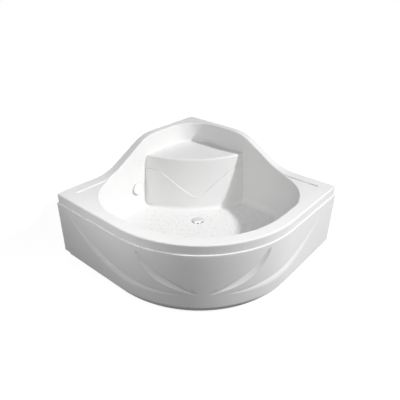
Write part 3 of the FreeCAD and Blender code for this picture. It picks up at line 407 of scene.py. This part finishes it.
# How far each hollow reaches above and below its bed, and how deep it is
OUTER_ABOVE, OUTER_BELOW, OUTER_DEPTH = 10.0, 40.0, 19.0
INNER_ABOVE, INNER_BELOW, INNER_DEPTH = 22.0, 25.0, 14.0
OUTER_CURVE = 1.9                     # above 1, the outer ramp is steepest beside its bed
OUTER_LEAN, INNER_LEAN = 0.85, 0.68   # below 1, a hollow is fullest nearer its upper tip
TIP_WIDTH = 0.15                      # width at the tips, of the full width
HALVINGS, SLOPE_SPAN = 40, 0.01       # search for a route's place, and the stretch its slope is read over
# Rows of the face between the edges and beds of the two hollows, from the ledge down
ROW_COUNTS = (8, 7, 7, 8, 4, 9, 6)
ROW_GAP = 1.0                         # least height between those edges and beds

apron_low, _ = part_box("apron_panel")
ARC_Y = apron_low.y / MM + APRON_R    # centre of the bow


def face_point(along, z, out):
    """Point of the apron's face: distance along it from the middle, height, and how far outside it lies."""
    side = 1 if along >= 0 else -1
    turn = min(abs(along), APRON_HALF_ARC) / APRON_R
    straight = max(abs(along) - APRON_HALF_ARC, 0)
    reach = APRON_R + out
    x = side * (math.sin(turn) * reach + math.cos(turn) * straight)
    y = ARC_Y - math.cos(turn) * reach + math.sin(turn) * straight
    return Vector((x, y, z)) * MM


def bezier(points, t):
    weights = [(1 - t) ** 3, 3 * t * (1 - t) ** 2, 3 * t ** 2 * (1 - t), t ** 3]
    return [sum(w * p[k] for w, p in zip(weights, points)) for k in (0, 1)]


def route_at(route, lean, along):
    """Height, steepness and fullness of a route where it is that far from the middle."""
    first, last = route[0][0], route[-1][0]
    inside = min(max(along, last), first)
    low_t, high_t = 0.0, 1.0
    for _ in range(HALVINGS):
        t = (low_t + high_t) / 2
        if bezier(route, t)[0] > inside:
            low_t = t
        else:
            high_t = t
    before = bezier(route, max(t - SLOPE_SPAN, 0))
    after = bezier(route, min(t + SLOPE_SPAN, 1))
    slope = (before[1] - after[1]) / (before[0] - after[0])
    height = bezier(route, t)[1] + slope * (along - inside)
    full = math.sin(math.pi * t ** lean) if last < along < first else 0.0
    return height, math.hypot(1, slope), max(full, 0.0)


def face_rows(along):
    """Heights and reliefs down the face at a station."""
    edge = APRON_TOP - LEDGE_ROUND
    keys = [edge]
    depths = []
    for route, lean, above, below, deep in (
            (INNER_ROUTE, INNER_LEAN, INNER_ABOVE, INNER_BELOW, INNER_DEPTH),
            (OUTER_ROUTE, OUTER_LEAN, OUTER_ABOVE, OUTER_BELOW, OUTER_DEPTH)):
        height, stretch, full = route_at(route, lean, abs(along - ROUTE_MIDDLE))
        wide = stretch * (TIP_WIDTH + (1 - TIP_WIDTH) * full)
        keys += [height + above * wide, height, height - below * wide]
        depths.append(deep * full)
    keys.append(TOE_H)
    for k in range(1, len(keys)):
        keys[k] = min(keys[k], keys[k - 1] - ROW_GAP)
    for k in range(len(keys) - 2, -1, -1):
        keys[k] = max(keys[k], keys[k + 1] + ROW_GAP)
    keys[0] = edge
    inner, outer = depths
    hollows = {
        1: lambda share: inner * math.sin(math.pi / 2 * share),
        2: lambda share: inner * math.sin(math.pi / 2 * (1 - share)),
        4: lambda share: outer * share,
        5: lambda share: outer * (1 - share) ** OUTER_CURVE,
    }
    rows = []
    for k, count in enumerate(ROW_COUNTS):
        for i in range(count):
            share = i / count
            z = keys[k] + (keys[k + 1] - keys[k]) * share
            rows.append((z, -hollows[k](share) if k in hollows else 0.0))
    return rows + [(TOE_H, 0.0)]


def apron_ring(along):
    """Closed section of the apron at a station: flange, rounded ledge, face, step and the sheet's back."""
    rows = face_rows(along)
    inner, under = -APRON_FLANGE, APRON_TOP - APRON_SHEET
    ring = [(inner, under), (inner, APRON_TOP)]
    for k in range(LEDGE_STEPS):
        turn = math.pi / 2 * k / LEDGE_STEPS
        ring.append((LEDGE_ROUND * (math.sin(turn) - 1), APRON_TOP + LEDGE_ROUND * (math.cos(turn) - 1)))
    ring += [(relief, z) for z, relief in rows]
    step = TOE_H + APRON_SHEET
    toe_back = -TOE_SET_BACK - APRON_SHEET
    ring += [(toe_back, TOE_H), (toe_back, step)]
    for z, relief in reversed(rows):
        ring.append((relief - APRON_SHEET, min(max(z, step), under)))
    return [face_point(along, z, out) for out, z in ring]


def swept(bm, stations, ring_at):
    """Skin through the ring at each station, closed at both ends."""
    rings = [[bm.verts.new(p) for p in ring_at(along)] for along in stations]
    for here, after in zip(rings, rings[1:]):
        for i in range(len(here)):
            j = (i + 1) % len(here)
            bm.faces.new((here[i], after[i], after[j], here[j]))
    bm.faces.new(rings[0])
    bm.faces.new(rings[-1][::-1])


def spaced(start, end, step):
    """Evenly spaced values from start to end, at most a step apart."""
    number = math.ceil((end - start) / step)
    return [start + (end - start) * k / number for k in range(number + 1)]


def band(out_low, out_high, z_low, z_high):
    """Section of a plain band with its lower edges eased."""
    corners = [
        (out_low, z_high), (out_high, z_high), (out_high, z_low + BAND_EASE), (out_high - BAND_EASE, z_low),
        (out_low + BAND_EASE, z_low), (out_low, z_low + BAND_EASE),
    ]
    return lambda along: [face_point(along, z, out) for out, z in corners]


bm = bmesh.new()
swept(bm, spaced(-APRON_END, APRON_END, STATION), apron_ring)
toe = band(-TOE_SET_BACK - APRON_SHEET, -TOE_SET_BACK, TOE_CLEAR, TOE_H + TOE_LAP)
swept(bm, spaced(TOE_SHORT - APRON_END, APRON_END - TOE_SHORT, STATION), toe)
back_return = band(-END_RETURN, RETURN_LAP - APRON_SHEET, TOE_H + APRON_SHEET, APRON_TOP - APRON_SHEET)
for outer, inner in ((APRON_END, APRON_END - APRON_SHEET), (-APRON_END, APRON_SHEET - APRON_END)):
    swept(bm, [outer, inner], back_return)
apron = piece("apron_moulded", bm, "base", "acrylic", ["apron_panel"], sharp=APRON_SHARP)
back_with_fibreglass(apron, behind_apron)


# Feet and their lock nuts

STUD_CREST, STUD_ROOT, STUD_PITCH = 6.0 * MM, 5.15 * MM, 1.75 * MM
STUD_STEPS, PAD_STEPS, NUT_STEPS = 20, 144, 72
STUD_SHARP = 25.0
PAD_RIBS, PAD_RIB_SHARPNESS, PAD_RIB_H = 12, 6, 0.9
# Radius and height along the pad's section, in millimetres
PAD_EDGE = [(0, 0), (24.6, 0), (25.6, 0.5), (26.0, 1.4), (26.0, 3.0), (25.6, 3.7), (24.6, 4.3)]
PAD_SLOPE = [(23.2, 5.0), (15.0, 9.2), (11.4, 11.1)]
PAD_NECK = [
    (10.3, 12.0), (10.0, 13.0), (10.0, 15.2), (9.4, 15.9), (8.8, 16.0),
    (6.3, 16.0), (6.1, 15.6), (6.1, 6.0), (0, 6.0),
]
NUT_ACROSS, NUT_BORE = 19.0 * MM, 6.3 * MM
NUT_MOUTH_W, NUT_MOUTH_H = 0.7 * MM, 0.6 * MM     # cone at each end of the bore
NUT_CHAMFER = math.radians(30)


def foot_pad_profile(turn):
    """Pad with rounded edges; radial ribs stand on its sloping face."""
    rib = max(0.0, math.cos(PAD_RIBS * turn)) ** PAD_RIB_SHARPNESS * PAD_RIB_H
    slope = [(r, z + rib) for r, z in PAD_SLOPE]
    return [(r * MM, z * MM) for r, z in PAD_EDGE + slope + PAD_NECK]


def nut_profile(height):
    """Hexagon nut whose corners are chamfered by a cone above and below."""
    def profile(turn):
        flat = NUT_ACROSS / 2
        off = (turn + math.pi / 6) % (math.pi / 3) - math.pi / 6
        corner = flat / math.cos(off)
        drop = (corner - flat) * math.tan(NUT_CHAMFER)
        inner = NUT_BORE + NUT_MOUTH_W
        return [
            (NUT_BORE, NUT_MOUTH_H), (inner, 0), (flat, 0), (corner, drop), (corner, height - drop),
            (flat, height), (inner, height), (NUT_BORE, height - NUT_MOUTH_H),
        ]
    return profile


for foot in FEET:
    stud = "foot_stud_" + foot
    low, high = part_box(stud)
    bm = bmesh.new()
    thread(bm, upright(stud), high.z - low.z, STUD_CREST, STUD_ROOT, STUD_PITCH, STUD_STEPS)
    piece("stud_thread_" + foot, bm, "foot_" + foot, "zinc_steel", [stud], sharp=STUD_SHARP)
    bm = bmesh.new()
    lathe(bm, foot_pad_profile, upright("foot_pad_" + foot), PAD_STEPS)
    piece("pad_ribbed_" + foot, bm, "foot_" + foot, "foot_plastic", ["foot_pad_" + foot])

bm = bmesh.new()
nut_low, nut_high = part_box("lock_nuts")
for foot in FEET:
    spot = upright("foot_stud_" + foot).translation
    at_nut = Matrix.Translation((spot.x, spot.y, nut_low.z))
    lathe(bm, nut_profile(nut_high.z - nut_low.z), at_nut, NUT_STEPS, closed=True)
piece("nuts_chamfered", bm, "base", "zinc_steel", ["lock_nuts"])


# Screws with a cross recess in a domed head

HEAD_R, HEAD_H = 5.0 * MM, 3.0 * MM
DOME_POINTS, DOME_REACH, DOME_DROP = 11, 0.96, 0.3
SHANK_R, SHANK_LENGTH, SHANK_ROOT = 2.5 * MM, 12.0 * MM, 0.76
SCREW_PITCH = 1.6 * MM
HEAD_STEPS, SHANK_STEPS = 96, 16
CROSS_REACH, CROSS_HALF_WIDTH, CROSS_DEPTH = 2.7 * MM, 0.55 * MM, 1.5 * MM
# Rounded edge and flat seat of the head
HEAD_EDGE = [(HEAD_R, HEAD_H * 0.55), (HEAD_R, HEAD_H * 0.1), (HEAD_R * 0.97, 0), (SHANK_R * 0.8, 0)]
FLIP = Matrix.Rotation(math.pi, 4, "X")


def cross_head(turn):
    """Profile of the head: dome with a cross recess, rounded edge and flat seat."""
    off = (turn + math.pi / 4) % (math.pi / 2) - math.pi / 4
    profile = []
    for k in range(DOME_POINTS + 1):
        r = HEAD_R * DOME_REACH * k / DOME_POINTS
        top = HEAD_H * (1 - DOME_DROP * (r / HEAD_R) ** 2)
        in_cross = r < CROSS_REACH and r * abs(math.sin(off)) < CROSS_HALF_WIDTH
        profile.append((r, top - CROSS_DEPTH if in_cross else top))
    return profile + HEAD_EDGE


def screw(bm, where):
    """Screw whose head's seat is at a place and whose head points along its +Z."""
    lathe(bm, cross_head, where, HEAD_STEPS)
    shank = where @ Matrix.Translation((0, 0, -SHANK_LENGTH))
    thread(bm, shank, SHANK_LENGTH, SHANK_R, SHANK_R * SHANK_ROOT, SCREW_PITCH, SHANK_STEPS)


bm = bmesh.new()
for low, high in islands(nodes["apron_screws"]):
    screw(bm, Matrix.Translation(((low.x + high.x) / 2, (low.y + high.y) / 2, high.z - HEAD_H)))
piece("apron_screws_cross", bm, "base", "zinc_steel", ["apron_screws"])
bm = bmesh.new()
for low, high in islands(nodes["board_screws"]):
    screw(bm, Matrix.Translation(((low.x + high.x) / 2, (low.y + high.y) / 2, low.z + HEAD_H)) @ FLIP)
piece("board_screws_cross", bm, "base", "zinc_steel", ["board_screws"])


# Grips on the trap's cap and nut

GRIP_DEPTH = 0.9 * MM
NUT_RIBS, CAP_RIBS = 30, 40
NUT_GRIP_STEPS, CAP_GRIP_STEPS = 180, 240
OUTLET_WALL = 6.9 * MM                # from the nut's edge to its bore
CAP_THICK, CAP_COLLAR_IN = 5.0 * MM, 3.1 * MM
CAP_HOLLOW, CAP_HOLLOW_IN, CAP_RINGS = 2.0 * MM, 6.0 * MM, 8
CAP_BAR_HALF = 5.0 * MM               # half the width of the bar across the hollow


def grip(radius, turn, ribs):
    """Radius of a ribbed edge, which stays inside the plain one."""
    return radius - GRIP_DEPTH * (0.5 - 0.5 * math.cos(ribs * turn)) ** 2


def nut_grip(radius, bore, length):
    """Union nut with a ribbed edge, sloping shoulders and a chamfered bore."""
    def profile(turn):
        edge = grip(radius, turn, NUT_RIBS)
        shoulder = radius - 2.0 * MM
        return [
            (bore, 0), (shoulder, 0), (edge, 1.5 * MM), (edge, length - 1.5 * MM), (shoulder, length),
            (bore + 0.8 * MM, length), (bore, length - 0.8 * MM),
        ]
    return profile


def cap_grip(radius, height):
    """Cap with a ribbed edge, a collar that goes into the pot, and a bar across its hollowed underside."""
    collar = radius - CAP_COLLAR_IN

    def profile(turn):
        edge = grip(radius, turn, CAP_RIBS)
        points = [(0, 0)]
        for k in range(1, CAP_RINGS + 1):
            r = (radius - CAP_HOLLOW_IN) * k / CAP_RINGS
            on_bar = r * abs(math.sin(turn)) < CAP_BAR_HALF
            points.append((r, 0 if on_bar else CAP_HOLLOW))
        return points + [
            (radius - 5.0 * MM, 0), (radius - 2.0 * MM, 0), (edge - 0.3 * MM, 0.8 * MM), (edge, 1.5 * MM),
            (edge, CAP_THICK - 0.6 * MM), (edge - 0.6 * MM, CAP_THICK), (collar, CAP_THICK),
            (collar, height), (0, height),
        ]
    return profile


low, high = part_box("outlet_nut")
nut_r = (high.z - low.z) / 2
nut_length = (high.x - low.x) * math.sqrt(2) - 2 * nut_r
outlet_axis = Vector((1, 1, 0)).normalized()
turned = outlet_axis.to_track_quat("Z", "Y").to_matrix().to_4x4()
nut_start = Matrix.Translation((low + high) / 2 - outlet_axis * nut_length / 2) @ turned
bm = bmesh.new()
lathe(bm, nut_grip(nut_r, nut_r - OUTLET_WALL, nut_length), nut_start, NUT_GRIP_STEPS, closed=True)
piece("outlet_nut_ribbed", bm, "base", "pipe_plastic", ["outlet_nut"])
low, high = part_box("trap_cap")
bm = bmesh.new()
lathe(bm, cap_grip((high.x - low.x) / 2, high.z - low.z), upright("trap_cap"), CAP_GRIP_STEPS)
piece("trap_cap_ribbed", bm, "base", "pipe_plastic", ["trap_cap"])


# Welds of the frame

BEAD_R, BEAD_STEP, BEAD_SIDES = 2.2 * MM, 1.1 * MM, 8
BEAD_SWELL, BEAD_GROWTH, BEAD_SCALES = 0.82, 0.09, 3    # thickness of the scales, of BEAD_R
BEAD_TIP, FEWEST_SCALES = 0.25, 4
SHORTEST_BEAD = 4.0 * MM
NEAR = 0.1 * MM                       # points this near in height or along Y count as level
CORNER_NEAR = 0.2 * MM
RAIL_POSTS = {
    "side_post_left": "main_rail", "side_post_right": "main_rail",
    "apron_post_left": "main_rail", "apron_post_right": "main_rail",
    "apron_post_front_left": "front_rail", "apron_post_front_right": "front_rail",
}


def bead(bm, start, end):
    """Weld along a straight joint: overlapping scales, with rounded ends."""
    along = (end - start).normalized()
    side = along.orthogonal().normalized()
    other = along.cross(side)
    number = max(FEWEST_SCALES, int((end - start).length / BEAD_STEP))
    angles = [2 * math.pi * i / BEAD_SIDES for i in range(BEAD_SIDES)]
    rings = []
    for k in range(number + 1):
        swell = BEAD_SWELL + BEAD_GROWTH * (k % BEAD_SCALES)
        r = BEAD_R * (BEAD_TIP if k in (0, number) else swell)
        middle = start + (end - start) * k / number
        ring = [middle + (side * math.cos(a) + other * math.sin(a)) * r for a in angles]
        rings.append([bm.verts.new(p) for p in ring])
    for here, after in zip(rings, rings[1:]):
        for i in range(BEAD_SIDES):
            j = (i + 1) % BEAD_SIDES
            bm.faces.new((here[i], here[j], after[j], after[i]))
    bm.faces.new(rings[0][::-1])
    bm.faces.new(rings[-1])


def foot_corners(name):
    """Corners of a square tube's lower end, in order round it."""
    low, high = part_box(name)
    middle = (low + high) / 2
    ends = [v.co.copy() for v in nodes[name].data.vertices if v.co.z < low.z + NEAR]
    reach = max((e.xy - middle.xy).length for e in ends)
    corners = {}
    for e in ends:
        if (e.xy - middle.xy).length > reach - CORNER_NEAR:
            corners[tuple(round(c, 5) for c in e)] = e
    return sorted(corners.values(), key=lambda c: math.atan2(c.y - middle.y, c.x - middle.x))


def clipped(start, end, low_y, high_y):
    """Part of a run between two values of y, or None where little is left."""
    span = end.y - start.y
    if abs(span) < NEAR:
        return (start, end) if low_y - MM < start.y < high_y + MM else None
    shares = sorted(((low_y - start.y) / span, (high_y - start.y) / span))
    first, last = max(0.0, shares[0]), min(1.0, shares[1])
    if (last - first) * (end - start).length < SHORTEST_BEAD:
        return None
    return start.lerp(end, first), start.lerp(end, last)


bm = bmesh.new()
for post, rail in RAIL_POSTS.items():
    rail_low, rail_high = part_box(rail)
    corners = foot_corners(post)
    for start, end in zip(corners, corners[1:] + corners[:1]):
        run = clipped(start, end, rail_low.y, rail_high.y)
        if run:
            bead(bm, *run)
for post in ("seat_post_left", "seat_post_right", "back_post"):
    corners = foot_corners(post)
    for start, end in zip(corners, corners[1:] + corners[:1]):
        bead(bm, start, end)
for tie in ("tie_left", "tie_right"):
    low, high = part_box(tie)
    top = high.z - BEAD_R
    for y in (low.y, high.y):
        corners = ((low.x, top), (low.x, low.z), (high.x, low.z), (high.x, top))
        outline = [Vector((x, y, z)) for x, z in corners]
        for start, end in zip(outline, outline[1:]):
            bead(bm, start, end)
for low, high in islands(nodes["foot_sockets"]):
    for x in (low.x, high.x):
        bead(bm, Vector((x, low.y, high.z)), Vector((x, high.y, high.z)))
piece("weld_beads", bm, "base", "frame_steel", material=bead_metal())


# Stage, light and camera

WHITE = (1, 1, 1, 1)
SKY_LIGHT, SKY_SEEN = 0.175, 1.0      # the world's strength for light, and for the eye
FLOOR_LIGHT, FLOOR_SEEN = 0.0, 0.89   # and the floor's own glow, which its lit grey brings up to white
FLOOR_HALF, FLOOR_GRID = 9.0, 8
LAMP_AIM = Vector((0, 0, 0.25))
CAMERA_TURN = math.radians(-5.23)
CAMERA_RISE = math.radians(29.464)
CAMERA_ROLL = math.radians(0.901)
CAMERA_AIM = Vector((-4.07, -157.8, 338.56)) * MM
CAMERA_DISTANCE = 2.033
SENSOR_WIDTH = 36.0
FOCAL_PIXELS, IMAGE_PIXELS = 409.14, 400.0


def white_to_eye(tree, light, seen_level):
    """Strength that is one level for what the camera and mirrors see, and another for other light."""
    path = tree.nodes.new("ShaderNodeLightPath")
    seen = path.outputs["Is Camera Ray"]
    for name in ("Is Glossy Ray", "Is Transmission Ray"):
        both = tree.nodes.new("ShaderNodeMath")
        both.operation = "MAXIMUM"
        tree.links.new(seen, both.inputs[0])
        tree.links.new(path.outputs[name], both.inputs[1])
        seen = both.outputs[0]
    level = tree.nodes.new("ShaderNodeMapRange")
    tree.links.new(seen, level.inputs["Value"])
    level.inputs["To Min"].default_value = light
    level.inputs["To Max"].default_value = seen_level
    return level.outputs["Result"]


def lamp(name, toward, distance, size, power):
    """Square area lamp that looks at the middle of the base from a direction."""
    data = bpy.data.lights.new(name, "AREA")
    data.size = size
    data.energy = power
    obj = bpy.data.objects.new(name, data)
    obj.location = LAMP_AIM + Vector(toward).normalized() * distance
    obj.rotation_euler = (LAMP_AIM - obj.location).to_track_quat("-Z", "Y").to_euler()
    scene.collection.objects.link(obj)


scene = bpy.context.scene
scene.view_settings.view_transform = "Standard"
world = bpy.data.worlds.new("studio")
scene.world = world
world.use_nodes = True
sky = next(n for n in world.node_tree.nodes if n.type == "BACKGROUND")
sky.inputs["Color"].default_value = WHITE
world.node_tree.links.new(white_to_eye(world.node_tree, SKY_LIGHT, SKY_SEEN), sky.inputs["Strength"])

bm = bmesh.new()
bmesh.ops.create_grid(bm, x_segments=FLOOR_GRID, y_segments=FLOOR_GRID, size=FLOOR_HALF)
floor_mesh = bpy.data.meshes.new("floor")
bm.to_mesh(floor_mesh)
bm.free()
floor = bpy.data.objects.new("floor", floor_mesh)
scene.collection.objects.link(floor)
pale = finish("pale_floor")
floor_mesh.materials.append(pale)
grey = tint(pale, noise(pale, 2.0), [(0.19, 0.19, 0.19), (0.21, 0.21, 0.21)])
wear(pale, grey, spread(pale, noise(pale, 5.0), 0.75, 0.9))
principled(pale).inputs["Emission Color"].default_value = WHITE
glow = white_to_eye(pale.node_tree, FLOOR_LIGHT, FLOOR_SEEN)
pale.node_tree.links.new(glow, principled(pale).inputs["Emission Strength"])

lamp("key", (0.757, -0.175, 0.629), distance=9.0, size=0.6, power=620.0)
lamp("top_left", (-0.6, -0.1, 0.8), distance=4.0, size=3.0, power=2.0)
lamp("left", (-0.66, -0.62, 0.50), distance=1.25, size=0.5, power=3.4)
lamp("front", (0.42, -0.65, 0.66), distance=1.5, size=0.8, power=4.7)
lamp("back", (-0.1, 0.99, 0.05), distance=4.5, size=1.0, power=28.0)

back = Vector((
    math.sin(CAMERA_TURN) * math.cos(CAMERA_RISE),
    -math.cos(CAMERA_TURN) * math.cos(CAMERA_RISE),
    math.sin(CAMERA_RISE)))
right = back.cross(Vector((0, 0, -1))).normalized()
up = back.cross(right)
tilted = right * math.cos(CAMERA_ROLL) + up * math.sin(CAMERA_ROLL)
up = up * math.cos(CAMERA_ROLL) - right * math.sin(CAMERA_ROLL)
eye = CAMERA_AIM + back * CAMERA_DISTANCE
camera = bpy.data.objects.new("camera", bpy.data.cameras.new("camera"))
camera.data.sensor_width = SENSOR_WIDTH
camera.data.lens = SENSOR_WIDTH * FOCAL_PIXELS / IMAGE_PIXELS
camera.matrix_world = Matrix((
    (tilted.x, up.x, back.x, eye.x),
    (tilted.y, up.y, back.y, eye.y),
    (tilted.z, up.z, back.z, eye.z),
    (0, 0, 0, 1)))
scene.collection.objects.link(camera)
scene.camera = camera
